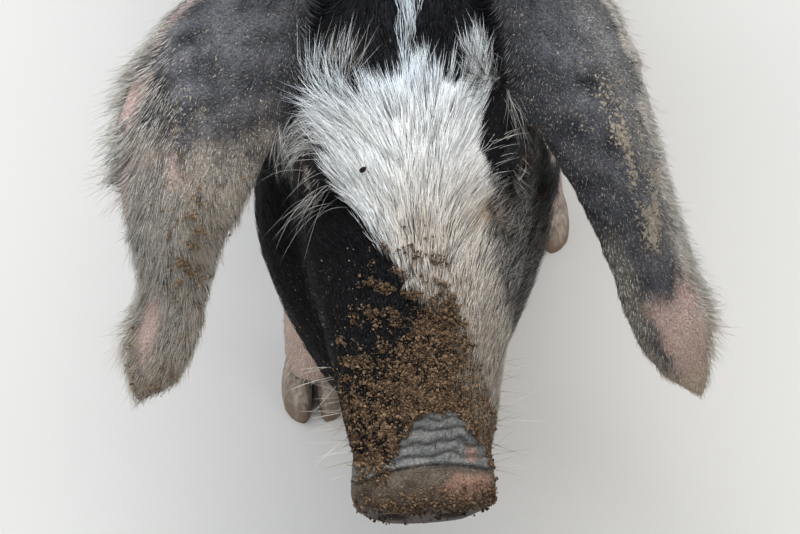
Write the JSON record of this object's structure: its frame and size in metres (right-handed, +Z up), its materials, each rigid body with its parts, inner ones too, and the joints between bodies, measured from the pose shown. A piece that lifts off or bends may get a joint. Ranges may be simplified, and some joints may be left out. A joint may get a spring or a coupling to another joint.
{
  "type": "young lop-eared pied pig",
  "caption": "Still life-size model of a young black-and-white lop-eared pig, standing in mid-stride with its head lowered to the ground.",
  "frame": {"origin": "on the floor under the middle of the animal's box", "axes": "+Z up, +Y from the snout to the tail, +X to the pig's own left"},
  "size_m": [0.2448, 0.8098, 0.462],
  "materials": {
    "pied_hide": "white and black bristle coat over pink-grey skin",
    "dark_hide": "slate-grey hide under thin silvery hair",
    "snout_skin": "bare wrinkled skin, dry and dusty",
    "horn": "dull worn hoof horn",
    "eye": "wet dark brown"
  },
  "bodies": {
    "root": {"head": "pied_hide", "snout": "snout_skin", "lower_jaw": "pied_hide", "ear_left": "dark_hide", "ear_right": "dark_hide", "eye_left": "eye", "eye_right": "eye", "neck": "pied_hide", "trunk": "pied_hide", "tail_base": "pied_hide", "tail_tip": "pied_hide", "fore_left_forearm": "pied_hide", "fore_left_shin": "pied_hide", "fore_left_claw_outer": "horn", "fore_left_claw_inner": "horn", "fore_left_dewclaw_outer": "horn", "fore_left_dewclaw_inner": "horn", "fore_right_forearm": "pied_hide", "fore_right_shin": "pied_hide", "fore_right_claw_outer": "horn", "fore_right_claw_inner": "horn", "fore_right_dewclaw_outer": "horn", "fore_right_dewclaw_inner": "horn", "hind_left_shank": "pied_hide", "hind_left_shin": "pied_hide", "hind_left_claw_outer": "horn", "hind_left_claw_inner": "horn", "hind_left_dewclaw_outer": "horn", "hind_left_dewclaw_inner": "horn", "hind_right_shank": "pied_hide", "hind_right_shin": "pied_hide", "hind_right_claw_outer": "horn", "hind_right_claw_inner": "horn", "hind_right_dewclaw_outer": "horn", "hind_right_dewclaw_inner": "horn"}
  },
  "joints": []
}
